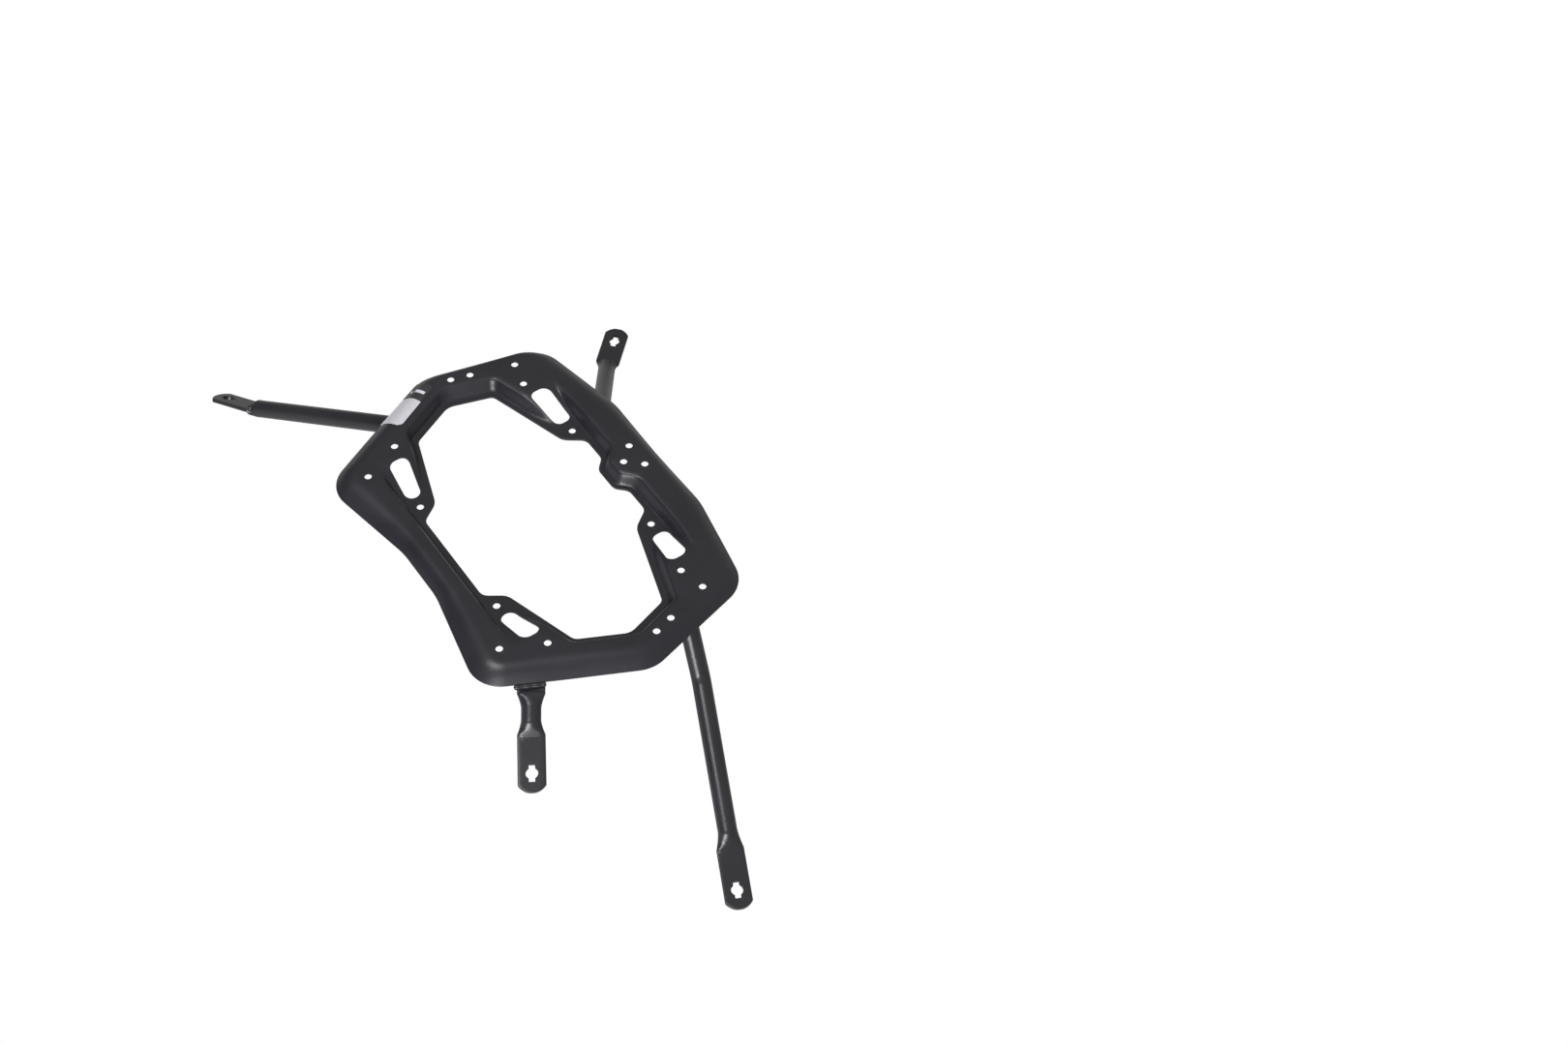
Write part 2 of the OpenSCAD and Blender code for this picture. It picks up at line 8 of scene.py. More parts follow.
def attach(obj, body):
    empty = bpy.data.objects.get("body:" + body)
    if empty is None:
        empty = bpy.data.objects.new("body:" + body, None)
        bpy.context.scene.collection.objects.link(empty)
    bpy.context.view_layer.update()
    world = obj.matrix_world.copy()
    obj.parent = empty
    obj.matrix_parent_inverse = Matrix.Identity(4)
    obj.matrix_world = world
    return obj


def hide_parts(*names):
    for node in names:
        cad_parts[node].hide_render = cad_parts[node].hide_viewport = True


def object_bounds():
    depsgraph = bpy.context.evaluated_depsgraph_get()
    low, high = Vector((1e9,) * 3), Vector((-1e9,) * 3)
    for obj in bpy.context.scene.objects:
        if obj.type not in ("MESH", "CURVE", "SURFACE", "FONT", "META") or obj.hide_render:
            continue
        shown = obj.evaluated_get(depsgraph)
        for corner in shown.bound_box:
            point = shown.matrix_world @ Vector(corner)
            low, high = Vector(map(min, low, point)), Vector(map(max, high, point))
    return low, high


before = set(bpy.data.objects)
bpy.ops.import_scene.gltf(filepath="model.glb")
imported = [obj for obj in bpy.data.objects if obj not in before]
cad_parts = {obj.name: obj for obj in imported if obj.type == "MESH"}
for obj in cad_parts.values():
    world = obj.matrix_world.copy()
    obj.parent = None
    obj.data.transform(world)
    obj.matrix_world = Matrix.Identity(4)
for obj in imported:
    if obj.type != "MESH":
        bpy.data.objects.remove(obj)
cad_box = [list(corner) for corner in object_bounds()]
MM = 0.001

# The studio: a camera where the photographer stood, a pale floor under the tabs, a tent that is bright
# overhead and dark low on the left, and two soft boxes that give the tubes their streaks. The lens
# sees the tent and the floor as plain white.
CAMERA_AT = Vector((1.0229, -0.5439, 1.4656))
CAMERA_RIGHT = Vector((0.5862, 0.8090, 0.0429))
CAMERA_DOWN = Vector((0.6555, -0.4425, -0.6120))
CAMERA_LENS = 47.67
CAMERA_SENSOR = 36.0
FLOOR_HALF = 6.0
FLOOR_GAP = 0.001
FLOOR_GREY = 0.5
# The tent goes from its first level to its second as the cosine of the angle to its brightest
# direction goes from the first of the cosines to the second
TENT_LEVELS = (0.1, 0.64)
TENT_COSINES = (-0.35, 0.75)
TENT_BRIGHTEST = (0.25, 0.45, 0.86)


def aimed(place, right, down):
    """Matrix at a place whose X axis is right and whose Y axis is the reverse of down."""
    right, up = right.normalized(), -down.normalized()
    back = right.cross(up)
    return Matrix.LocRotScale(place, Matrix((right, up, back)).transposed(), None)


camera = bpy.data.objects.new("camera", bpy.data.cameras.new("camera"))
camera.data.lens = CAMERA_LENS
camera.data.sensor_width = CAMERA_SENSOR
camera.data.clip_end = 50.0
camera.matrix_world = aimed(CAMERA_AT, CAMERA_RIGHT, CAMERA_DOWN)
bpy.context.scene.collection.objects.link(camera)
bpy.context.scene.camera = camera
bpy.context.scene.view_settings.view_transform = "Standard"


def white_to_lens(tree, lit, out):
    """Links the output to one closure for most rays and to plain white for rays from the lens."""
    path = tree.nodes.new("ShaderNodeLightPath")
    seen = tree.nodes.new("ShaderNodeEmission")
    mix = tree.nodes.new("ShaderNodeMixShader")
    tree.links.new(path.outputs["Is Camera Ray"], mix.inputs[0])
    tree.links.new(lit, mix.inputs[1])
    tree.links.new(seen.outputs[0], mix.inputs[2])
    tree.links.new(mix.outputs[0], out)


tent = bpy.data.worlds.new("tent")
tent.use_nodes = True
bpy.context.scene.world = tent
tent.node_tree.nodes.clear()
tent_lit = tent.node_tree.nodes.new("ShaderNodeBackground")
tent_lit.inputs["Color"].default_value = (1, 1, 1, 1)
tent_way = tent.node_tree.nodes.new("ShaderNodeTexCoord")
tent_dot = tent.node_tree.nodes.new("ShaderNodeVectorMath")
tent_dot.operation = "DOT_PRODUCT"
tent_dot.inputs[1].default_value = TENT_BRIGHTEST
tent_fade = tent.node_tree.nodes.new("ShaderNodeMapRange")
tent_fade.inputs["From Min"].default_value = TENT_COSINES[0]
tent_fade.inputs["From Max"].default_value = TENT_COSINES[1]
tent_fade.inputs["To Min"].default_value = TENT_LEVELS[0]
tent_fade.inputs["To Max"].default_value = TENT_LEVELS[1]
tent.node_tree.links.new(tent_way.outputs["Generated"], tent_dot.inputs[0])
tent.node_tree.links.new(tent_dot.outputs["Value"], tent_fade.inputs["Value"])
tent.node_tree.links.new(tent_fade.outputs["Result"], tent_lit.inputs["Strength"])
tent_out = tent.node_tree.nodes.new("ShaderNodeOutputWorld")
white_to_lens(tent.node_tree, tent_lit.outputs[0], tent_out.inputs[0])

floor_z = cad_box[0][2] - FLOOR_GAP
floor_mesh = bpy.data.meshes.new("floor")
corners = [(x * FLOOR_HALF, y * FLOOR_HALF, floor_z) for x, y in ((-1, -1), (1, -1), (1, 1), (-1, 1))]
floor_mesh.from_pydata(corners, [], [(0, 1, 2, 3)])
floor = bpy.data.objects.new("floor", floor_mesh)
bpy.context.scene.collection.objects.link(floor)
floor_paint = bpy.data.materials.new("pale_floor")
floor_paint.use_nodes = True
floor_shader = floor_paint.node_tree.nodes["Principled BSDF"]
floor_shader.inputs["Base Color"].default_value = (FLOOR_GREY, FLOOR_GREY, FLOOR_GREY, 1)
floor_shader.inputs["Roughness"].default_value = 0.9
floor_out = floor_paint.node_tree.nodes["Material Output"]
white_to_lens(floor_paint.node_tree, floor_shader.outputs[0], floor_out.inputs[0])
floor_mesh.materials.append(floor_paint)

# Soft boxes: name, place, point aimed at, width, height, power in watts
SOFT_BOXES = [
    ("top_box", (-0.1, -0.95, 2.0), (0, 0, 0), 1.0, 0.6, 30),
    ("front_box", (1.3, -1.6, 0.38), (0.2, 0, -0.05), 0.9, 0.5, 50),
]
for name, place, aim, width, height, watts in SOFT_BOXES:
    lamp = bpy.data.lights.new(name, "AREA")
    lamp.shape = "RECTANGLE"
    lamp.size = width
    lamp.size_y = height
    lamp.energy = watts
    box = bpy.data.objects.new(name, lamp)
    box.location = place
    box.rotation_euler = (Vector(aim) - Vector(place)).to_track_quat("-Z", "Y").to_euler()
    bpy.context.scene.collection.objects.link(box)

# The powder coat: black polyester powder baked on every steel piece after welding. It is satin,
# a little bluish, and pebbled by the melting of the powder, with faint cloudy patches of gloss.


def new_group(name, sockets):
    """Shader group with the named sockets: (name, 'INPUT' or 'OUTPUT', type, default)."""
    group = bpy.data.node_groups.new(name, "ShaderNodeTree")
    for label, way, kind, default in sockets:
        socket = group.interface.new_socket(label, in_out=way, socket_type="NodeSocket" + kind)
        if way == "INPUT":
            socket.default_value = default
    inside = group.nodes.new("NodeGroupInput")
    outside = group.nodes.new("NodeGroupOutput")
    return group, inside, outside


def noise(tree, vector, scale, detail):
    """Noise texture of the vector, as many features a metre as scale says."""
    node = tree.nodes.new("ShaderNodeTexNoise")
    node.inputs["Scale"].default_value = scale
    node.inputs["Detail"].default_value = detail
    tree.links.new(vector, node.inputs["Vector"])
    return node.outputs["Fac"]


def ranged(tree, value, low, high, to_low, to_high):
    """Value mapped straight from low..high to to_low..to_high and held at its ends."""
    node = tree.nodes.new("ShaderNodeMapRange")
    node.inputs["From Min"].default_value = low
    node.inputs["From Max"].default_value = high
    for socket, number in (("To Min", to_low), ("To Max", to_high)):
        if isinstance(number, (int, float)):
            node.inputs[socket].default_value = number
        else:
            tree.links.new(number, node.inputs[socket])
    tree.links.new(value, node.inputs["Value"])
    return node.outputs["Result"]


def blended(tree, factor, first, second):
    """Mix of two colours by a factor: inputs 6 and 7 and output 2 of a Mix node are its colours."""
    node = tree.nodes.new("ShaderNodeMix")
    node.data_type = "RGBA"
    for socket, value in ((node.inputs[0], factor), (node.inputs[6], first), (node.inputs[7], second)):
        if isinstance(value, bpy.types.NodeSocket):
            tree.links.new(value, socket)
        else:
            socket.default_value = value
    return node.outputs[2]


def maths(tree, operation, first, second):
    """One Math node over two values or sockets."""
    node = tree.nodes.new("ShaderNodeMath")
    node.operation = operation
    for socket, value in zip(node.inputs, (first, second)):
        if isinstance(value, bpy.types.NodeSocket):
            tree.links.new(value, socket)
        else:
            socket.default_value = value
    return node.outputs[0]


coat_group, coat_in, coat_out = new_group("powder_coat", [
    ("Vector", "INPUT", "Vector", (0, 0, 0)),
    ("Black", "INPUT", "Color", (0.03, 0.03, 0.035, 1)),
    ("Bloom", "INPUT", "Color", (0.05, 0.05, 0.055, 1)),
    ("Gloss", "INPUT", "Float", 0.4),
    ("Dull", "INPUT", "Float", 0.5),
    ("Color", "OUTPUT", "Color", None),
    ("Roughness", "OUTPUT", "Float", None),
    ("Height", "OUTPUT", "Float", None),
])
PEBBLE_SCALE = 1000
GRAIN_SCALE = 2600
CLOUD_SCALE = 14
COAT_BUMP = 0.2
COAT_HEIGHT = 0.00022
COAT_IOR = 1.42
coat_vector = coat_in.outputs["Vector"]
cloud = noise(coat_group, coat_vector, CLOUD_SCALE, 4)
pebble = noise(coat_group, coat_vector, PEBBLE_SCALE, 1)
grain = noise(coat_group, coat_vector, GRAIN_SCALE, 0)
cloudy = ranged(coat_group, cloud, 0.35, 0.65, 0.0, 1.0)
speck = ranged(coat_group, grain, 0.62, 0.75, 0.0, 0.35)
shade = maths(coat_group, "ADD", maths(coat_group, "MULTIPLY", cloudy, 0.6), speck)
coat_group.links.new(blended(coat_group, shade, coat_in.outputs["Black"], coat_in.outputs["Bloom"]),
                     coat_out.inputs["Color"])
coat_group.links.new(ranged(coat_group, cloud, 0.3, 0.7, coat_in.outputs["Gloss"], coat_in.outputs["Dull"]),
                     coat_out.inputs["Roughness"])
coat_group.links.new(maths(coat_group, "ADD", pebble, maths(coat_group, "MULTIPLY", grain, 0.45)),
                     coat_out.inputs["Height"])


def coated(name, black, bloom, gloss, dull):
    """Material of one coated piece: the powder coat group over Object coordinates."""
    material = bpy.data.materials.new(name)
    material.use_nodes = True
    tree = material.node_tree
    shader = tree.nodes["Principled BSDF"]
    place = tree.nodes.new("ShaderNodeTexCoord")
    coat = tree.nodes.new("ShaderNodeGroup")
    coat.node_tree = coat_group
    coat.inputs["Black"].default_value = (*black, 1)
    coat.inputs["Bloom"].default_value = (*bloom, 1)
    coat.inputs["Gloss"].default_value = gloss
    coat.inputs["Dull"].default_value = dull
    bump = tree.nodes.new("ShaderNodeBump")
    bump.inputs["Strength"].default_value = COAT_BUMP
    bump.inputs["Distance"].default_value = COAT_HEIGHT
    tree.links.new(place.outputs["Object"], coat.inputs["Vector"])
    tree.links.new(coat.outputs["Color"], shader.inputs["Base Color"])
    tree.links.new(coat.outputs["Roughness"], shader.inputs["Roughness"])
    tree.links.new(coat.outputs["Height"], bump.inputs["Height"])
    tree.links.new(bump.outputs["Normal"], shader.inputs["Normal"])
    shader.inputs["IOR"].default_value = COAT_IOR
    return material


# The ring: one blank of 2 mm sheet steel, drawn in a press into a channel with a low lip round the
# opening, a flat face and a rounded shoulder, then trimmed and punched. Its four corner webs rise
# from the lip's level at their noses to the face at the ends. All lengths here are millimetres.
OPENING_LEN = 310.0
OPENING_H = 170.2
END_W = 42.0
UPPER_BAR_W = 44.0
LOWER_BAR_W = 33.2
PRESS_DEPTH = 12.2
SHEET_T = 2.0
TONGUE_W = 26.0
TONGUE_H = 10.2
NOSE_GAP = 124.0
NOSE_Y = 67.0
RAMP = (74.0, 123.0)
point_x = OPENING_LEN / 2
bar_y = OPENING_H / 2
rim_x = point_x + END_W
rim_top = bar_y + UPPER_BAR_W
rim_low = -bar_y - LOWER_BAR_W
nose_x = NOSE_GAP / 2
web_top = np.array((point_x - 12.5, bar_y - 43.9))
web_low = np.array((point_x - 21.5, 41.2 - bar_y))
mid_z = -SHEET_T / 2
rim_under = mid_z - PRESS_DEPTH - SHEET_T / 2
WALL_FOOT = 6.0
low_foot = bar_y + WALL_FOOT + 0.8
UPPER_WALL_TOP = 12.0
LOWER_WALL_TOP = 10.6
EDGE_FOOT = 6.0
END_FOOT = EDGE_FOOT + 0.7
EDGE_TOP = (12.0, 13.5, 11.5, 9.5)
WALL_BEND = 0.35
SHOULDER_BEND = 0.75


def unit(vectors):
    """Vectors over their lengths."""
    return vectors / np.maximum(np.linalg.norm(vectors, axis=-1, keepdims=True), 1e-12)


def full_turn(steps):
    """Angles of one full turn in even steps, without its end."""
    return np.linspace(0, math.tau, steps, endpoint=False)


def corner_arc(start, corner, end, back, t):
    """Points at shares t of the circular arc from start to end, each of which lies back from the
    corner on its own edge. The arc is a rational quadratic, whose middle weight is the sine of half
    the corner's angle: half of the chord over the distance back."""
    weight = np.linalg.norm(start - end, axis=-1, keepdims=True) / 2 / back
    s = 1 - t
    return ((start * s * s + corner * 2 * s * t * weight + end * t * t)
            / (s * s + 2 * s * t * weight + t * t))


def on_web(nose, end, x):
    """Point at x on the straight line from a web's nose to its end."""
    return nose + (end - nose) * (x - nose[0]) / (end[0] - nose[0])


upper_turn = on_web(np.array((nose_x, NOSE_Y)), web_top, RAMP[1] - 2)
lower_turn = on_web(np.array((nose_x, -NOSE_Y)), web_low, RAMP[1] - 5)

# Right half of each line of the ring, from the middle of the upper bar round to the lower bar
# Each corner is x, y and how far it is rounded back along its edges
opening = np.array([
    (0, bar_y - TONGUE_H, 1), (TONGUE_W / 2, bar_y - TONGUE_H, 4),
    (TONGUE_W / 2 + TONGUE_H, bar_y, 4), (nose_x - 13, bar_y, 5), (nose_x, NOSE_Y, 5),
    (*upper_turn, 6), (*web_top, 4), (point_x, 0, 6), (*web_low, 4), (*lower_turn, 6),
    (nose_x, -NOSE_Y, 5), (nose_x - 12.4, -bar_y, 5), (28, -bar_y, 5), (0, -bar_y, 3)])


def widened(line, distances, rounding):
    """Line whose edges move outwards by their own distances; each corner goes to the crossing
    of its two moved edges, found from their normals by Cramer's rule."""
    points = line[:, :2]
    run = unit(np.diff(points, axis=0))
    normals = np.stack((-run[:, 1], run[:, 0]), axis=1)
    distances = np.array(distances, float)
    before = np.vstack((normals[:1], normals))
    after = np.vstack((normals, normals[-1:]))
    a = np.concatenate((distances[:1], distances))[:, None]
    b = np.concatenate((distances, distances[-1:]))[:, None]
    det = before[:, :1] * after[:, 1:] - before[:, 1:] * after[:, :1]
    crossing = np.hstack((a * after[:, 1:] - b * before[:, 1:], b * before[:, :1] - a * after[:, :1]))
    straight = np.abs(det) < 0.01
    moved = points + np.where(straight, before * a, crossing / np.where(straight, 1.0, det))
    return np.column_stack((moved, line[:, 2] + rounding))


edge_foot = widened(opening, (1.5, 1.8, 2, 3, EDGE_FOOT, EDGE_FOOT, END_FOOT, END_FOOT,
                              EDGE_FOOT, EDGE_FOOT, 3, 2, 2), 1)
edge_top = widened(opening, (3, 3.6, 4, 5, EDGE_TOP[0], EDGE_TOP[0], EDGE_TOP[1], EDGE_TOP[2],
                             EDGE_TOP[3], EDGE_TOP[3], 5, 4.2, 4.2), 2)
bar_foot = np.array([
    (0, bar_y - TONGUE_H + 4.7, 3), (TONGUE_W / 2 - 2, bar_y - TONGUE_H + 4.7, 4),
    (TONGUE_W / 2 + TONGUE_H - 2.2, bar_y + WALL_FOOT, 5), (nose_x - 9, bar_y + WALL_FOOT, 6),
    (nose_x + 8, bar_y + WALL_FOOT, 6), (RAMP[1] - 1, bar_y + WALL_FOOT, 6),
    (point_x + 3, bar_y - 13.1, 8), (point_x + 18, 0, 8), (point_x - 11, web_low[1] - 12.1, 6),
    (RAMP[1] - 1.5, -low_foot, 6), (nose_x + 8, -low_foot, 6), (nose_x - 8, -low_foot, 6),
    (28, -low_foot, 5), (0, -low_foot, 3)])
bar_top = np.array([
    (0, bar_y - TONGUE_H + 10.7, 3), (TONGUE_W / 2 - 4, bar_y - TONGUE_H + 10.7, 3.5),
    (TONGUE_W / 2 + TONGUE_H, bar_y + UPPER_WALL_TOP, 6), (nose_x - 8, bar_y + UPPER_WALL_TOP, 6),
    (nose_x + 10, bar_y + UPPER_WALL_TOP, 6), (RAMP[1] + 0.5, bar_y + UPPER_WALL_TOP - 1.8, 6),
    (point_x + 5.5, bar_y - 4.6, 10), (point_x + 21.3, 0, 10), (point_x - 10, web_low[1] - 16.4, 6),
    (RAMP[1] - 0.5, -bar_y - LOWER_WALL_TOP - 1, 6), (nose_x + 11, -bar_y - LOWER_WALL_TOP, 6),
    (nose_x - 6.5, -bar_y - LOWER_WALL_TOP, 6), (28, -bar_y - LOWER_WALL_TOP, 5),
    (0, -bar_y - LOWER_WALL_TOP, 3)])
face_edge = np.array([
    (0, rim_top - 14.5, 3), (13, rim_top - 14.5, 6), (25, rim_top - 14.7, 6), (53, rim_top - 17, 10),
    (74, rim_top - 19.7, 12), (RAMP[1] + 2, rim_top - 29.7, 6), (point_x + 8, rim_top - 40.1, 14),
    (rim_x - 17.5, 0, 14), (point_x - 9, web_low[1] - 20.5, 6), (rim_x - 73, rim_low + 4.5, 9),
    (77, rim_low + 10.8, 10), (57, rim_low + 13.4, 8), (28, rim_low + 14, 8), (0, rim_low + 14, 3)])
rim = np.array([
    (0, rim_top, 3), (14, rim_top + 0.2, 6), (26, rim_top + 0.4, 6), (52, rim_top + 1.1, 8),
    (70, rim_top + 1.5, 18), (RAMP[1] + 2, rim_top - 9.4, 6), (point_x + 12.4, rim_top - 18.1, 27),
    (rim_x, -4.1, 12), (point_x + 8.4, web_low[1] - 29.5, 6), (rim_x - 66.2, rim_low - 20.1, 26.5),
    (80, rim_low - 10.2, 6), (56, rim_low - 5.5, 6), (28, rim_low, 8), (0, rim_low, 3)])
LAST = len(opening) - 1
CORNER_SHARE = 0.45


def fitted(line):
    """Line with each corner's reach held under half of the edges beside it."""
    points = line[:, :2]
    edges = np.linalg.norm(np.diff(points, axis=0), axis=1)
    before = np.concatenate(([2 * points[1, 0]], edges))
    after = np.concatenate((edges, [2 * points[-2, 0]]))
    return np.column_stack((points, np.minimum(line[:, 2], CORNER_SHARE * np.minimum(before, after))))


LINES = [fitted(line) for line in (opening, edge_foot, edge_top, bar_foot, bar_top, face_edge, rim)]


def along(line, u):
    """Points of a half line at stations u. From i to i + 0.5 a station runs round the arc of
    corner i; from i + 0.5 to i + 1 it runs down the straight edge to the next corner."""
    points, back = line[:, :2], line[:, 2:]
    flip = np.array((-1, 1))
    before = np.vstack((points[1:2] * flip, points[:-1]))
    after = np.vstack((points[1:], points[-2:-1] * flip))
    start = points + unit(before - points) * back
    end = points + unit(after - points) * back
    i = np.minimum(np.floor(u).astype(int), LAST)
    round_share = np.clip((u - i) * 2, 0, 1)[:, None]
    arc = corner_arc(start[i], points[i], end[i], back[i], round_share)
    edge_share = np.clip((u - i) * 2 - 1, 0, 1)[:, None]
    edge = end[i] * (1 - edge_share) + start[np.minimum(i + 1, LAST)] * edge_share
    return np.where((u - i)[:, None] < 0.5, arc, edge)


def wall_rise(t):
    """Rise from 0 to 1: a parabola, a straight slope and a parabola, joined without a kink."""
    k = WALL_BEND
    low, high = t * t / 2 / k, 1 - k - (1 - t) ** 2 / 2 / k
    return np.where(t < k, low, np.where(t > 1 - k, high, t - k / 2)) / (1 - k)


def shoulder_drop(t):
    """Drop from 0 to 1: a parabola, then a straight slope down to the rim."""
    k = SHOULDER_BEND
    return np.where(t < k, t * t / 2 / k, t - k / 2) / (1 - k / 2)


SOFT_BEND = 2.2
BEND_SAMPLES = 9
FINE_ROWS = np.linspace(0, len(LINES) - 1, 181)


def sheet(u, v):
    """Middle of the sheet at stations u and rows v, as a grid. Row v lies between lines floor(v)
    and floor(v) + 1. What is still missing to the face's height is the product of what the edge
    wall, times the web's ramp, and the bars' wall each leave; the shoulder's drop is taken off.
    The height is then averaged over a few millimetres across the sheet, as a press rounds a bend."""
    lines = np.stack([along(line, u) for line in LINES], axis=1)
    low = np.minimum(np.floor(FINE_ROWS).astype(int), len(LINES) - 2)
    t = FINE_ROWS - low
    flat = lines[:, low] + (lines[:, low + 1] - lines[:, low]) * t[None, :, None]
    edge = np.where(low < 1, 0, np.where(low > 1, 1, wall_rise(t)))
    bar = np.where(low < 3, 0, np.where(low > 3, 1, wall_rise(t)))
    drop = np.where(low == 5, shoulder_drop(t), 0)
    ramp = wall_rise(np.clip((np.abs(flat[:, :, 0]) - RAMP[0]) / (RAMP[1] - RAMP[0]), 0, 1))
    missing = (1 - edge[None, :] * ramp) * (1 - bar[None, :])
    z = mid_z - PRESS_DEPTH * (missing + drop[None, :])
    step = np.linalg.norm(np.diff(flat, axis=1), axis=2)
    grid = np.empty((len(u), len(v), 3))
    for k in range(len(u)):
        far = np.concatenate(([0], np.cumsum(step[k])))
        at = np.interp(v, FINE_ROWS, far)
        reach = np.minimum(SOFT_BEND, np.minimum(at, far[-1] - at))
        spread = at + reach * np.linspace(-1, 1, BEND_SAMPLES)[:, None]
        grid[k, :, 0] = np.interp(v, FINE_ROWS, flat[k, :, 0])
        grid[k, :, 1] = np.interp(v, FINE_ROWS, flat[k, :, 1])
        grid[k, :, 2] = np.interp(spread, far, z[k]).mean(axis=0)
    return grid


CORNER_STEPS = 9
EDGE_STEPS = 7
# A half line meets its mirror image in the middle of its first corner and of its last
HALF_CORNER = 0.25
half_u = np.concatenate([np.concatenate((i + np.linspace(0, 0.5, CORNER_STEPS, endpoint=False),
                                         i + 0.5 + np.linspace(0, 0.5, EDGE_STEPS, endpoint=False)))
                         for i in range(LAST + 1)])
between = (half_u > HALF_CORNER + 0.01) & (half_u < LAST + HALF_CORNER - 0.01)
half_u = np.concatenate(([HALF_CORNER], half_u[between], [LAST + HALF_CORNER]))
# Steps across the sheet from each line to the next
ROW_STEPS = (3, 12, 5, 14, 6, 20)
rows_v = np.concatenate([i + np.linspace(0, 1, n, endpoint=False) for i, n in enumerate(ROW_STEPS)]
                        + [[len(ROW_STEPS)]])
right_half = sheet(half_u, rows_v)
left_half = right_half[-2:0:-1] * np.array((-1, 1, 1))
middle = np.concatenate((right_half, left_half))
station_run = np.roll(middle, -1, axis=0) - np.roll(middle, 1, axis=0)
row_run = np.gradient(middle, axis=1)
upward = unit(np.cross(row_run, station_run))

# The cut edges have small round corners, as the coat leaves them
EDGE_R = 0.55
corner_angle = np.linspace(0, math.pi / 2, 5)
edge_out = np.concatenate((np.sin(corner_angle), np.cos(corner_angle))) * EDGE_R - EDGE_R
edge_up = SHEET_T / 2 - EDGE_R + np.cos(corner_angle) * EDGE_R
edge_up = np.concatenate((edge_up, -edge_up[::-1]))


def cut_edge(points, normals, outward):
    """Rounded cut edge of the sheet, from its top to its underside, one ring a step."""
    return (points[:, None] + outward[:, None] * edge_out[None, :, None]
            + normals[:, None] * edge_up[None, :, None])


rim_out = unit(middle[:, -1] - middle[:, -2])
open_out = unit(middle[:, 0] - middle[:, 1])
top_skin = middle[:, 1:-1] + upward[:, 1:-1] * SHEET_T / 2
low_skin = middle[:, 1:-1] - upward[:, 1:-1] * SHEET_T / 2
section = np.concatenate((top_skin, cut_edge(middle[:, -1], upward[:, -1], rim_out), low_skin[:, ::-1],
                          cut_edge(middle[:, 0], upward[:, 0], open_out)[:, ::-1]), axis=1)


def grid_faces(rows, columns, close_rows, close_columns):
    """Quads of a grid of points, closed round in either direction where asked."""
    i = np.arange(rows if close_rows else rows - 1)[:, None]
    j = np.arange(columns if close_columns else columns - 1)[None, :]
    a, b = i * columns, (i + 1) % rows * columns
    c, d = j, (j + 1) % columns
    return np.stack((a + c, b + c, b + d, a + d), axis=-1).reshape(-1, 4)


def new_mesh(name, points, faces):
    """Mesh object from points in millimetres and faces, linked into the scene."""
    mesh = bpy.data.meshes.new(name)
    mesh.from_pydata((points.reshape(-1, 3) * MM).tolist(), [], [list(map(int, f)) for f in faces])
    mesh.update()
    piece = bpy.data.objects.new(name, mesh)
    bpy.context.scene.collection.objects.link(piece)
    return piece


def facing_out(piece):
    """Turns a closed piece's faces outwards if its signed volume is below nothing."""
    mesh = piece.data
    mesh.calc_loop_triangles()
    place = np.array([v.co[:] for v in mesh.vertices])
    corner = np.array([t.vertices[:] for t in mesh.loop_triangles])
    a, b, c = place[corner[:, 0]], place[corner[:, 1]], place[corner[:, 2]]
    if np.einsum("ij,ij->i", a, np.cross(b, c)).sum() < 0:
        mesh.flip_normals()


def cut(piece, cutter):
    """Takes the cutter away from the piece and deletes it."""
    facing_out(piece)
    facing_out(cutter)
    change = piece.modifiers.new("cut", "BOOLEAN")
    change.operation = "DIFFERENCE"
    change.solver = "MANIFOLD"
    change.object = cutter
    bpy.context.view_layer.objects.active = piece
    with bpy.context.temp_override(object=piece, active_object=piece):
        bpy.ops.object.modifier_apply(modifier="cut")
    bpy.data.objects.remove(cutter)


def prism(outlines):
    """Points and faces of upright prisms, put together into one mesh. Each prism is an outline and
    its rings from the lowest up, a ring being its height and how far it stands out of the outline."""
    points, faces, count = [], [], 0
    for outline, rings in outlines:
        sides = len(outline)
        x, y = outline.T
        if np.sum(x * np.roll(y, -1) - y * np.roll(x, -1)) < 0:
            outline = outline[::-1]
        away = unit(outline - outline.mean(axis=0))
        stack = [np.column_stack((outline + away * extra, np.full(sides, z))) for z, extra in rings]
        points.append(np.concatenate(stack))
        walls = grid_faces(len(rings), sides, False, True) + count
        faces += walls.tolist()
        faces.append(list(range(count, count + sides)))
        top = count + (len(rings) - 1) * sides
        faces.append(list(range(top + sides - 1, top - 1, -1)))
        count += len(rings) * sides
    return np.concatenate(points), faces


BOLT_R = 3.3
HOLE_CHAMFER = 0.35
# Off the sheet a hole's punch stands out, from a small rise over the mouth to well past the sheet
MOUTH_RISE = 0.4
MOUTH_OUT = 1.2
PUNCH_PAST = 6.0
# A slot's punch is straight, from under the drawn sheet to over the face
SLOT_PUNCH = ((-40, 0), (20, 0))
ARC_STEPS = 10
case_bolt = (point_x - 23.9, bar_y - 16.6)
# Bolt holes of the right half, which the left half repeats: x, y and the depth of the sheet there
BOLTS = [(case_bolt[0], case_bolt[1], 0), (case_bolt[0], -case_bolt[1], 0),
         (65.85, 80.4, -PRESS_DEPTH), (65.85, -80.4, -PRESS_DEPTH), (156.2, case_bolt[1] + 5.7, 0),
         (113.2, -case_bolt[1] - 37, 0), (point_x + 13.2, 32.7, 0), (point_x + 18, 14.8, 0),
         (13, bar_y + 23.8, 0)]
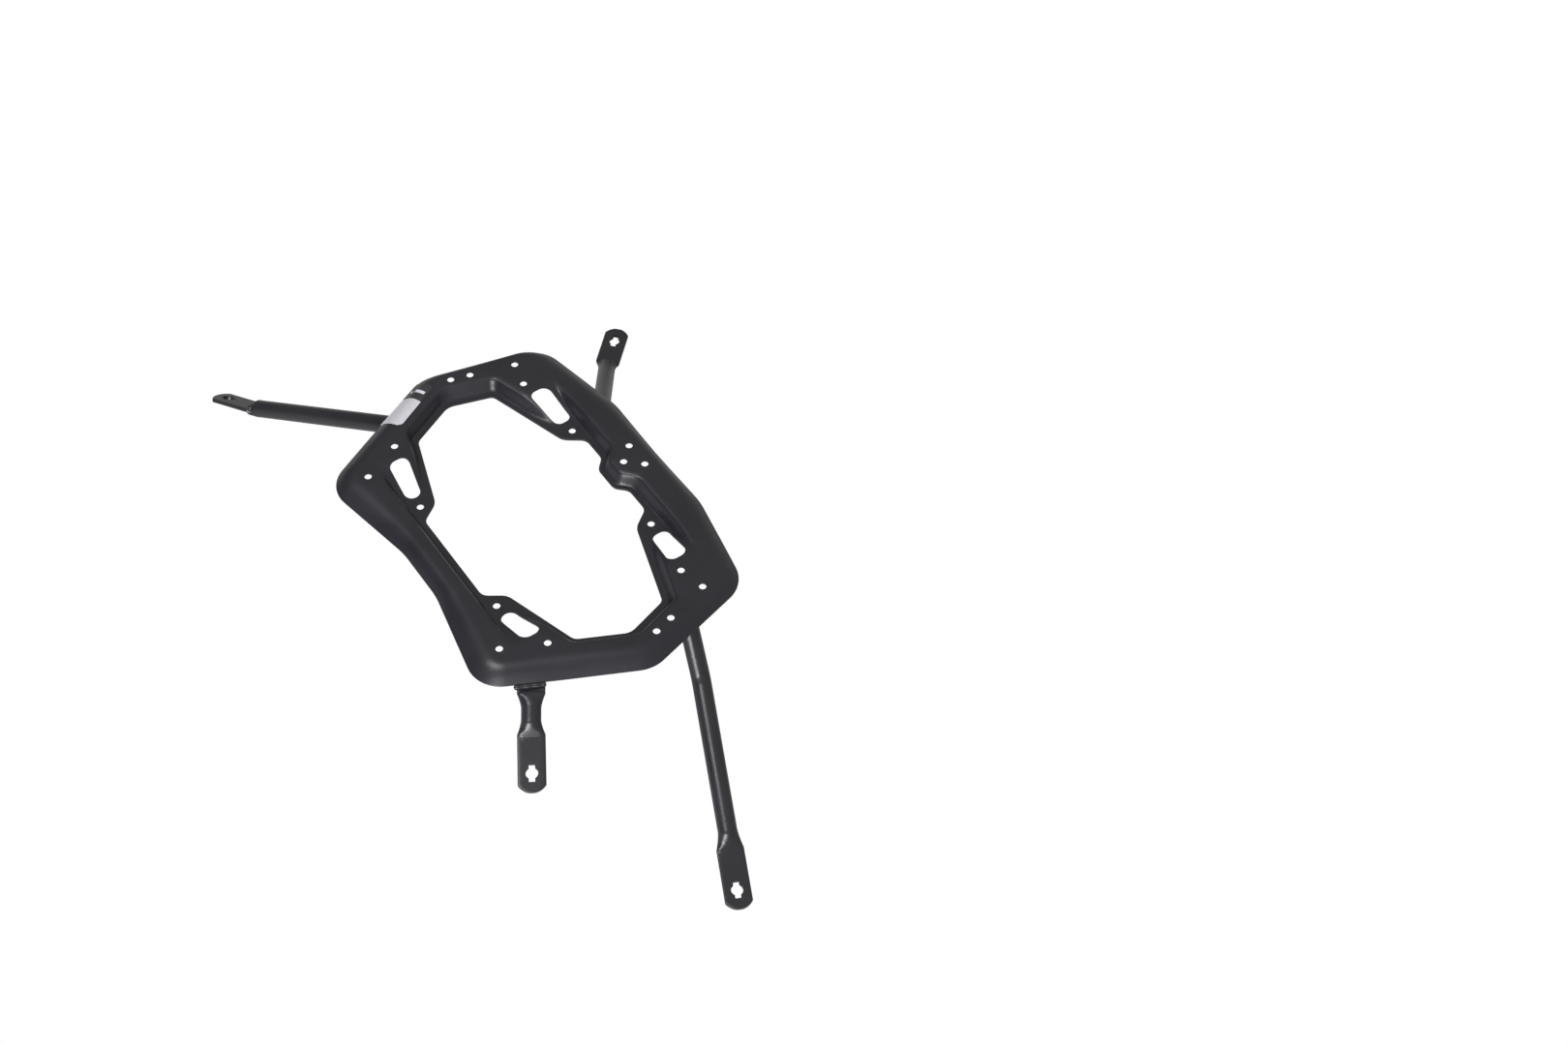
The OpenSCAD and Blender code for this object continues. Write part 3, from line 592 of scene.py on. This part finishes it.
# Slots of the right half, which the left half repeats: each corner is x, y and how far it is rounded
SLOTS = (((78, 88.6, 7), (118, 85.4, 8), (118, 64.8, 8), (78, 72.1, 6)),
         ((77, -72.2, 6), (117, -64.2, 8), (117, -84.2, 8), (77, -86.4, 8)))


def hole_rings(z):
    """Rings of a punched hole's prism: straight through the sheet, with both mouths broken."""
    steps = ((PUNCH_PAST, MOUTH_OUT), (MOUTH_RISE, MOUTH_OUT), (0, HOLE_CHAMFER), (-HOLE_CHAMFER, 0))
    below = [(z - SHEET_T - step, out) for step, out in steps]
    return below + [(z + step, out) for step, out in reversed(steps)]


def rounded(slot):
    """Closed outline with each corner an arc between its two edges."""
    points, back = np.hsplit(np.array(slot, float), [2])
    start = points + unit(np.roll(points, 1, axis=0) - points) * back
    end = points + unit(np.roll(points, -1, axis=0) - points) * back
    share = np.linspace(0, 1, ARC_STEPS)[:, None]
    arcs = corner_arc(start[:, None], points[:, None], end[:, None], back[:, None], share)
    return arcs.reshape(-1, 2)


hole_turn = full_turn(48)
circle = np.column_stack((np.cos(hole_turn), np.sin(hole_turn))) * BOLT_R
outlines = [(circle + (0, bar_y + 9.3), hole_rings(0))]
for side in (-1, 1):
    outlines += [(circle + (side * x, y), hole_rings(z)) for x, y, z in BOLTS]
    outlines += [(rounded(slot) * (side, 1), SLOT_PUNCH) for slot in SLOTS]

ring = new_mesh("ring_sheet", section, grid_faces(*section.shape[:2], True, True))
cut(ring, new_mesh("punches", *prism(outlines)))


def smoothed(piece, material, degrees=32):
    """Smooth shading with an edge kept sharp where its faces turn by more than the angle."""
    piece.data.polygons.foreach_set("use_smooth", [True] * len(piece.data.polygons))
    piece.data.set_sharp_from_angle(angle=math.radians(degrees))
    piece.data.materials.clear()
    piece.data.materials.append(material)
    facing_out(piece)


ring_coat = coated("ring_coat", (0.010, 0.0095, 0.013), (0.017, 0.016, 0.021), 0.31, 0.42)
smoothed(ring, ring_coat)
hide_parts("pressed_frame")
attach(ring, "root")

# The stays: 17 mm steel tube, pressed flat at the outer end into a tab with a round end, and punched
# with a round hole that has two notches. Each is bent in a former and welded to the ring from below.
TUBE_D = 17.1
TAB_W = 24.0
TAB_T = 4.0
TAB_END_R = 14.0
TAB_END = 16.8
TAB_HOLE_R = 5.3
# Half of the notches' length over both and of their width
NOTCH = (7.7, 2.7)
WELD_GAP = 0.15
BEAD = 2.6
ELBOW_REACH = 8.0
COPE_REACH = 13.0
CREASE_BOW = 2.5
SECTION_SIDES = 64
EASE_STEPS = 16
# Sections: the angle at which the round tip starts, how many go round it, down a neck and over a
# bowed crease, their distances apart in a tab, in a tube and in the short stay's tube, and how many
# lean over to the seat
TIP_START = 0.06
TIP_STEPS = 16
NECK_STEPS = 26
BOW_STEPS = 9
TAB_STEP = 4.0
TUBE_STEP = 2.0
SHORT_STEP = 1.0
COPE_STEPS = 9
# Length of the tip over which a tab gets thinner, and reach of a hole's punch to either side
TIP_ROUND = 0.6
PUNCH_HALF = 9.0


def eased(route, reach):
    """Route with each inner corner rounded by a circular arc of that reach."""
    route = np.array(route, float)
    pieces = [route[:1]]
    for i in range(1, len(route) - 1):
        edges = [np.linalg.norm(route[i + step] - route[i]) for step in (-1, 1)]
        back = min(reach, CORNER_SHARE * min(edges))
        start = route[i] + unit(route[i - 1] - route[i]) * back
        end = route[i] + unit(route[i + 1] - route[i]) * back
        share = np.linspace(0, 1, EASE_STEPS)[:, None]
        pieces.append(corner_arc(start, route[i], end, back, share))
    return np.concatenate(pieces + [route[-1:]])


def fall(t):
    """Fall from 1 to 0 as t goes from 0 to 1, with a crease at its start and none at its end."""
    return (1 - np.clip(t, 0, 1)) ** 1.5


def above(run, roll):
    """Upward normals of a stay that runs along run, turned about it by roll, in radians."""
    wide = unit(np.cross(run, (0, 0, 1)))
    roll = np.asarray(roll)[..., None]
    return np.cross(wide, run) * np.cos(roll) - wide * np.sin(roll)


def stations(total, flat, neck, seat_flat):
    """Distances of a stay's sections from its tip, closest together at the tip and in the necks."""
    tip = TAB_END_R - math.sqrt(TAB_END_R ** 2 - (TAB_W / 2) ** 2)
    tip_angle = np.linspace(TIP_START, math.pi / 2, TIP_STEPS)
    down_neck = neck * np.linspace(0, 1, NECK_STEPS) ** 2
    bow = np.linspace(-CREASE_BOW, 0, BOW_STEPS)[:-1]
    parts = [tip * (1 - np.cos(tip_angle)), np.arange(tip + 1, flat - CREASE_BOW - 1, TAB_STEP),
             flat + bow, flat + down_neck]
    if seat_flat:
        seat_start = total - seat_flat
        parts += [np.arange(flat + neck + 1, seat_start - neck - 1, SHORT_STEP), seat_start - down_neck,
                  seat_start - bow, [total - seat_flat * 0.5, total - 0.5, total]]
    else:
        cope_start = total - COPE_REACH
        parts += [np.arange(flat + neck + 2, cope_start - 4, TUBE_STEP),
                  np.linspace(cope_start, total, COPE_STEPS)]
    return np.unique(np.round(np.concatenate(parts), 4))


def stay_surface(route, flat, neck, lift, roll, seat_flat, seat_lift, seat_normal):
    """Grid of a stay. Along its eased route each section is a superellipse, whose width and height
    go from the flat tab's to the round tube's over the neck, which starts earlier in the middle of
    the tab than at its edges, so that the crease is bowed. The tab's end is an arc. The other end
    is pressed flat in the same way, or else its last sections lean over to the seat's plane."""
    path = eased(route, ELBOW_REACH)
    far = np.concatenate(([0], np.cumsum(np.linalg.norm(np.diff(path, axis=0), axis=1))))
    total = far[-1]
    at = stations(total, flat, neck, seat_flat)

    def place(distance):
        """Points of the path at distances from the tip."""
        distance = np.clip(distance, 0, total)
        return np.stack([np.interp(distance, far, path[:, k]) for k in range(3)], axis=-1)

    centre = place(at)
    run = unit(place(at + 1.5) - place(at - 1.5))
    upward = above(run, roll * fall((at - flat) / neck))
    sideways = np.cross(run, upward)
    angle = full_turn(SECTION_SIDES)
    cosine, sine = np.cos(angle), np.sin(angle)
    early = CREASE_BOW * sine ** 2
    tab_share = fall((at[:, None] + early - flat) / neck)
    seat_share = fall((total - at[:, None] + early - seat_flat) / neck) if seat_flat else 0 * tab_share
    flatness = np.maximum(tab_share, seat_share)
    share = flatness.max(axis=1)
    arc = np.where(at < TAB_END_R, np.sqrt(np.clip(TAB_END_R ** 2 - (TAB_END_R - at) ** 2, 0, None)), TAB_W)
    half_w = np.minimum((TUBE_D + (TAB_W - TUBE_D) * share) / 2, arc)
    half_h = (TUBE_D - (TUBE_D - TAB_T) * flatness) / 2
    # The very tip gets thinner too, so that its rim is rounded
    thinner = np.sqrt(np.clip(1 - (1 - at / TIP_ROUND) ** 2 * 0.75, 0, 1))
    half_h *= np.where(at < TIP_ROUND, thinner, 1)[:, None]
    power = (2 + 5 * share ** 5)[:, None]
    across = half_w[:, None] * np.sign(cosine) * np.abs(cosine) ** (2 / power)
    rise = half_h * np.sign(sine) * np.abs(sine) ** (2 / power)
    rise += tab_share * lift + seat_share * seat_lift
    surface = centre[:, None] + upward[:, None] * rise[..., None] + sideways[:, None] * across[..., None]
    if not seat_flat:
        seat_normal = np.array(seat_normal, float)
        shift = ((centre[:, None] - surface) @ seat_normal) / (run @ seat_normal)[:, None]
        near_seat = (total - at <= COPE_REACH + 0.01)[:, None, None]
        surface = np.where(near_seat, surface + run[:, None] * shift[..., None], surface)
    return surface


def closed_tube(grid):
    """Points and faces of a tube of sections whose two ends are flat polygons."""
    rings, sides = grid.shape[:2]
    faces = grid_faces(rings, sides, False, True).tolist()
    faces.append(list(range(sides)))
    faces.append(list(range(rings * sides - 1, (rings - 1) * sides - 1, -1)))
    return grid.reshape(-1, 3), faces


def notched_hole(hole, elbow, roll):
    """Prism of a tab's hole: a circle, or the notches' rectangle where that reaches further."""
    angle = full_turn(240)
    cosine, sine = np.cos(angle), np.sin(angle)
    to_end = NOTCH[0] / np.maximum(np.abs(cosine), 1e-6)
    to_side = NOTCH[1] / np.maximum(np.abs(sine), 1e-6)
    reach = np.maximum(TAB_HOLE_R, np.minimum(to_end, to_side))
    run = unit(np.array(elbow) - np.array(hole))
    upward = above(run, roll)
    sideways = np.cross(upward, run)
    loop = np.array(hole) + run * (reach * cosine)[:, None] + sideways * (reach * sine)[:, None]
    return closed_tube(np.stack((loop - upward * PUNCH_HALF, loop + upward * PUNCH_HALF)))


def tab_tip(hole, elbow, lift, roll):
    """Middle of the tube at the tab's tip, for a hole and the elbow behind it."""
    run = unit(np.array(elbow) - np.array(hole))
    return np.array(hole) - run * TAB_END - above(run, roll) * lift


# Half of what the press leaves free when it flattens a tube
free_half = (TUBE_D - TAB_T) / 2
# Run of the opening's lower right edge up to the end, and the way out of its lower left edge
end_run = unit(np.array((point_x, 0)) - web_low)
end_out = np.array((-end_run[1], -end_run[0]))
# The left stay's seat: how far it lies down the opening's left edge, out of it and below the rim
LEFT_ALONG = 31.7
LEFT_BACK = 10.1
LEFT_BELOW = 3.4
left_end = np.array((-point_x, 0))
left_seat = (*(left_end + end_run * (1, -1) * LEFT_ALONG + end_out * LEFT_BACK), rim_under - LEFT_BELOW)

# Each stay: hole, elbow, knees, seat, normal of the seat, how far the tab lies above the tube's
# middle as a share of what is free, the tab's turn about its length, the flat tab and the neck
STAYS = {
    "left_stay": ((-375, -134.6, -126.9), (-339.9, -120.2, -115), [], left_seat, (*end_out, 0),
                  0, math.radians(26), 56.2, 7),
    "upper_stay": ((-219.5, 224.4, -117.2), (-197.8, 201.3, -118.6), [],
                   (-51.3, bar_y + 13.65, rim_under - 0.15), (0, 1, 0), 0.3, 0, 46.8, 9),
    "right_stay": ((363.6, -31.2, -121.6), (331.5, -15.6, -115), [(202.5, 41.5, -60)],
                   (point_x + 8.1, 50.4, -SHEET_T - 1.9), (0.02, 0, 1), -0.8, 0, 54.5, 15),
}
stay_coat = coated("stay_coat", (0.011, 0.010, 0.013), (0.018, 0.0165, 0.020), 0.28, 0.35)


def dressed(piece, node):
    """Finishes a stay: shading, coat, the solid that it stands for and the body that it rides on."""
    smoothed(piece, stay_coat, 40)
    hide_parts(node)
    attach(piece, "root")


for node, (hole, elbow, knees, seat, seat_normal, flush, roll, flat, neck) in STAYS.items():
    lift = flush * free_half
    route = [tab_tip(hole, elbow, lift, roll), elbow, *knees, seat]
    grid = stay_surface(route, flat, neck, lift, roll, 0, 0, seat_normal)
    tube = new_mesh("tube_" + node[:-5], *closed_tube(grid))
    cut(tube, new_mesh("punch", *notched_hole(hole, elbow, roll)))
    dressed(tube, node)

# The short stay: the same tube pressed flat at both ends. Its upper end lies level under the rim
# and is welded along the rim's cut edge by one bead, which is rippled as the torch left it.
SHORT_FLUSH = -0.4
SHORT_SEAT_FLUSH = 0.3
SHORT_FLAT = 51
SHORT_SEAT_FLAT = 23.5
SHORT_NECK = 12
RIM_CLEAR = 0.35
short_z = rim_under + RIM_CLEAR - WELD_GAP - TAB_T / 2 - SHORT_SEAT_FLUSH * free_half
SHORT_HOLE = (point_x + 54, web_low[1] - 91.1, -45.2)
SHORT_ELBOW = (point_x + 20.5, web_low[1] - 70.6, -34.5)
SHORT_KNEE = (point_x - 4.6, web_low[1] - 53.8, short_z)
SHORT_SEAT = (rim_x - 61, web_low[1] - 45.1, short_z)
# The bead's ends along the rim's edge, how far its middle lies out of it and above it, how far
# apart its ripples are and how much they swell, and the length over which it closes at an end
BEAD_ENDS = (14.8, 42.5)
BEAD_OUT = 1.55
BEAD_UP = 0.1
RIPPLE = 8
RIPPLE_SWELL = 0.04
BEAD_TAPER = 2.2
short_lift = SHORT_FLUSH * free_half
short_route = [tab_tip(SHORT_HOLE, SHORT_ELBOW, short_lift, 0), SHORT_ELBOW, SHORT_KNEE, SHORT_SEAT]
short_grid = stay_surface(short_route, SHORT_FLAT, SHORT_NECK, short_lift, 0, SHORT_SEAT_FLAT,
                          SHORT_SEAT_FLUSH * free_half, None)


def bead_grid(start, run, out, length):
    """Grid of a weld bead: a round rope whose radius swells and falls once a ripple and closes to
    nothing over its last millimetres at either end."""
    at = np.linspace(0, length, 120)
    end = np.clip(np.minimum(at, length - at) / BEAD_TAPER, 0, 1)
    ripple = 1 - RIPPLE_SWELL + RIPPLE_SWELL * np.cos(at * math.tau / RIPPLE)
    radius = BEAD * ripple * np.sqrt(np.clip(1 - (1 - end) ** 2, 0.002, 1))
    angle = full_turn(24)[:, None]
    ring_points = out * np.cos(angle) + np.array((0, 0, 1)) * np.sin(angle)
    return start + run * at[:, None, None] + ring_points * radius[:, None, None]


rim_run = unit(rim[9, :2] - rim[8, :2])
rim_side = np.array((-rim_run[1], rim_run[0], 0))
bead_start = np.append(rim[8, :2] + rim_run * BEAD_ENDS[0], rim_under + BEAD_UP) + rim_side * BEAD_OUT
tube = new_mesh("tube_short", *closed_tube(short_grid))
cut(tube, new_mesh("punch", *notched_hole(SHORT_HOLE, SHORT_ELBOW, 0)))
weld = new_mesh("rim_bead", *closed_tube(bead_grid(bead_start, np.append(rim_run, 0), rim_side,
                                                    BEAD_ENDS[1] - BEAD_ENDS[0])))
facing_out(weld)
with bpy.context.temp_override(object=tube, active_object=tube, selected_objects=[tube, weld],
                               selected_editable_objects=[tube, weld]):
    bpy.ops.object.join()
dressed(tube, "short_stay")

# The labels: one strip of self-adhesive film pressed over the shoulder of the left end. Its long
# part is printed white and left bare here; the rest is clear over the black coat, with a white bar.
LABEL_T = 0.25
LABEL_GAP = 0.1
LABEL_COLUMNS = 60
# Rows where the labels begin, bend and end, and how many lines lie between each two of them
LABEL_ROWS = (3.75, 4, 5, 6)
LABEL_LINES = (8, 8, 24)
# Straight cuts across the labels in plan, each from its face side to its rim side
LABEL_CUTS = (((-173, -3.5), (-193.3, -9.9)), ((-163.1, -22), (-183.9, -30.6)),
              ((-143.9, -58.3), (-164.6, -68.1)))
# Stations between which every cut lies, and how often their range is halved
CUT_RANGE = (6.7, 7.95)
HALVINGS = 24


def on_cut(cut_line, v):
    """Stations of the left half at which rows v cross a cut, found by halving a range of stations
    by the sign of the cross product of the cut and the way to the point."""
    start, run = np.array(cut_line[0]), np.subtract(cut_line[1], cut_line[0])
    row = np.arange(len(v))
    low, high = (np.full(len(v), end) for end in CUT_RANGE)
    for _ in range(HALVINGS):
        u = (low + high) / 2
        way = sheet(u, v)[row, row, :2] * (-1, 1) - start
        before = way[:, 0] * run[1] - way[:, 1] * run[0] > 0
        low, high = np.where(before, u, low), np.where(before, high, u)
    return low


def label_grid(cuts, margin):
    """Points of a label on the left half's sheet, row by row from one cut to the other, less a
    margin at the far one, and the sheet's normals there."""
    v = np.concatenate([np.linspace(low, high, lines, endpoint=high == LABEL_ROWS[-1])
                        for low, high, lines in zip(LABEL_ROWS, LABEL_ROWS[1:], LABEL_LINES)])
    first, last = on_cut(cuts[0], v), on_cut(cuts[1], v) - margin
    u = first[:, None] + (last - first)[:, None] * np.linspace(0, 1, LABEL_COLUMNS)
    grid = np.stack([sheet(u[k], v[k:k + 1])[:, 0] for k in range(len(v))], axis=1) * (-1, 1, 1)
    normals = unit(np.cross(np.gradient(grid, axis=0), np.gradient(grid, axis=1)))
    normals *= np.sign(normals[..., 2:])
    return grid, normals


def label(name, node, cuts, margin, material, slot):
    """Closed thin solid of a label with a UV map that is 0 to 1 along it and across it."""
    grid, normals = label_grid(cuts, margin)
    low = SHEET_T / 2 + LABEL_GAP
    skins = np.concatenate((grid + normals * low, (grid + normals * (low + LABEL_T))[:, ::-1]), axis=1)
    rings, sides = skins.shape[:2]
    half = sides // 2
    faces = grid_faces(rings, sides, False, True).tolist()
    # Each end is closed by quads between its lower and its upper skin, which run opposite ways
    j = np.arange(half - 1)
    end_quads = np.stack((j, j + 1, sides - 2 - j, sides - 1 - j), axis=-1)
    faces += end_quads.tolist()
    faces += (end_quads[:, ::-1] + (rings - 1) * sides).tolist()
    piece = new_mesh(name, skins, faces)
    along_u = np.repeat(np.linspace(0, 1, rings), sides)
    across = np.tile(np.concatenate((np.linspace(0, 1, half), np.linspace(1, 0, half))), rings)
    corner = np.empty(len(piece.data.loops), dtype=np.int32)
    piece.data.loops.foreach_get("vertex_index", corner)
    layer = piece.data.uv_layers.new(name="label")
    layer.data.foreach_set("uv", np.column_stack((along_u[corner], across[corner])).ravel())
    smoothed(piece, material, 40)
    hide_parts(node)
    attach(piece, "root")


PRINT_SOFT = 0.004


def band(tree, value, low, high):
    """1 where the value lies between low and high, with edges as soft as a print's."""
    rise = ranged(tree, value, low - PRINT_SOFT, low + PRINT_SOFT, 0.0, 1.0)
    drop = ranged(tree, value, high - PRINT_SOFT, high + PRINT_SOFT, 1.0, 0.0)
    return maths(tree, "MULTIPLY", rise, drop)


def label_material(name, roughness):
    """Plain label material, its tree, its shader, its Object coordinates and both parts of its UV."""
    material = bpy.data.materials.new(name)
    material.use_nodes = True
    tree = material.node_tree
    shader = tree.nodes["Principled BSDF"]
    shader.inputs["Roughness"].default_value = roughness
    place = tree.nodes.new("ShaderNodeUVMap")
    place.uv_map = "label"
    split = tree.nodes.new("ShaderNodeSeparateXYZ")
    tree.links.new(place.outputs["UV"], split.inputs[0])
    objects = tree.nodes.new("ShaderNodeTexCoord").outputs["Object"]
    return material, tree, shader, objects, split.outputs["X"], split.outputs["Y"]


# The white label: paper with a faint mottle, a paler band along its long edge at the face side that is a
# painted highlight on its fold, and a paler band along its long edge at the rim
PAPER = (0.47, 0.465, 0.5, 1)
PAPER_PALE = (0.54, 0.535, 0.57, 1)
# Colour of both paler bands: a painted highlight along the fold at the face side, and the band at the rim
# edge
PAPER_HIGHLIGHT_AND_RIM_EDGE = (0.64, 0.635, 0.69, 1)
HIGHLIGHT_AND_RIM_SHARE = 0.75
white, tree, shader, objects, _, label_y = label_material("white_paper", 0.55)
mottle = ranged(tree, noise(tree, objects, 700, 3), 0.3, 0.7, 0.0, 1.0)
paper = blended(tree, mottle, PAPER, PAPER_PALE)
# Painted highlight: the band at the face side stands for light on the label's fold; the band at the rim
# edge is paler as well
fold_highlight_and_rim_band = maths(tree, "ADD", band(tree, label_y, -0.1, 0.16), band(tree, label_y, 0.9, 1.1))
fold_highlight_and_rim_share = ranged(tree, fold_highlight_and_rim_band, 0.0, 1.0, 0.0, HIGHLIGHT_AND_RIM_SHARE)
tree.links.new(blended(tree, fold_highlight_and_rim_share, paper, PAPER_HIGHLIGHT_AND_RIM_EDGE), shader.inputs["Base Color"])
label("paper_white", "white_label", LABEL_CUTS[1:], 0, white, "white_paper")

# The clear label: hazy film over the black coat, with a white bar and a short dash beside it
FILM = (0.018, 0.016, 0.018, 1)
FILM_HAZE = (0.032, 0.028, 0.03, 1)
FILM_PRINT = (0.6, 0.6, 0.68, 1)
LABELS_APART = 0.005
clear, tree, shader, objects, label_x, label_y = label_material("clear_film", 0.42)
haze = ranged(tree, noise(tree, objects, 60, 4), 0.35, 0.65, 0.0, 1.0)
film = blended(tree, haze, FILM, FILM_HAZE)
bar = maths(tree, "MULTIPLY", band(tree, label_x, 0.61, 0.73), band(tree, label_y, 0.34, 0.72))
dash = maths(tree, "MULTIPLY", band(tree, label_x, 0.67, 0.77), band(tree, label_y, 0.79, 0.87))
printed = maths(tree, "MAXIMUM", bar, dash)
tree.links.new(blended(tree, printed, film, FILM_PRINT), shader.inputs["Base Color"])
label("film_clear", "clear_label", LABEL_CUTS[:2], LABELS_APART, clear, "clear_film")
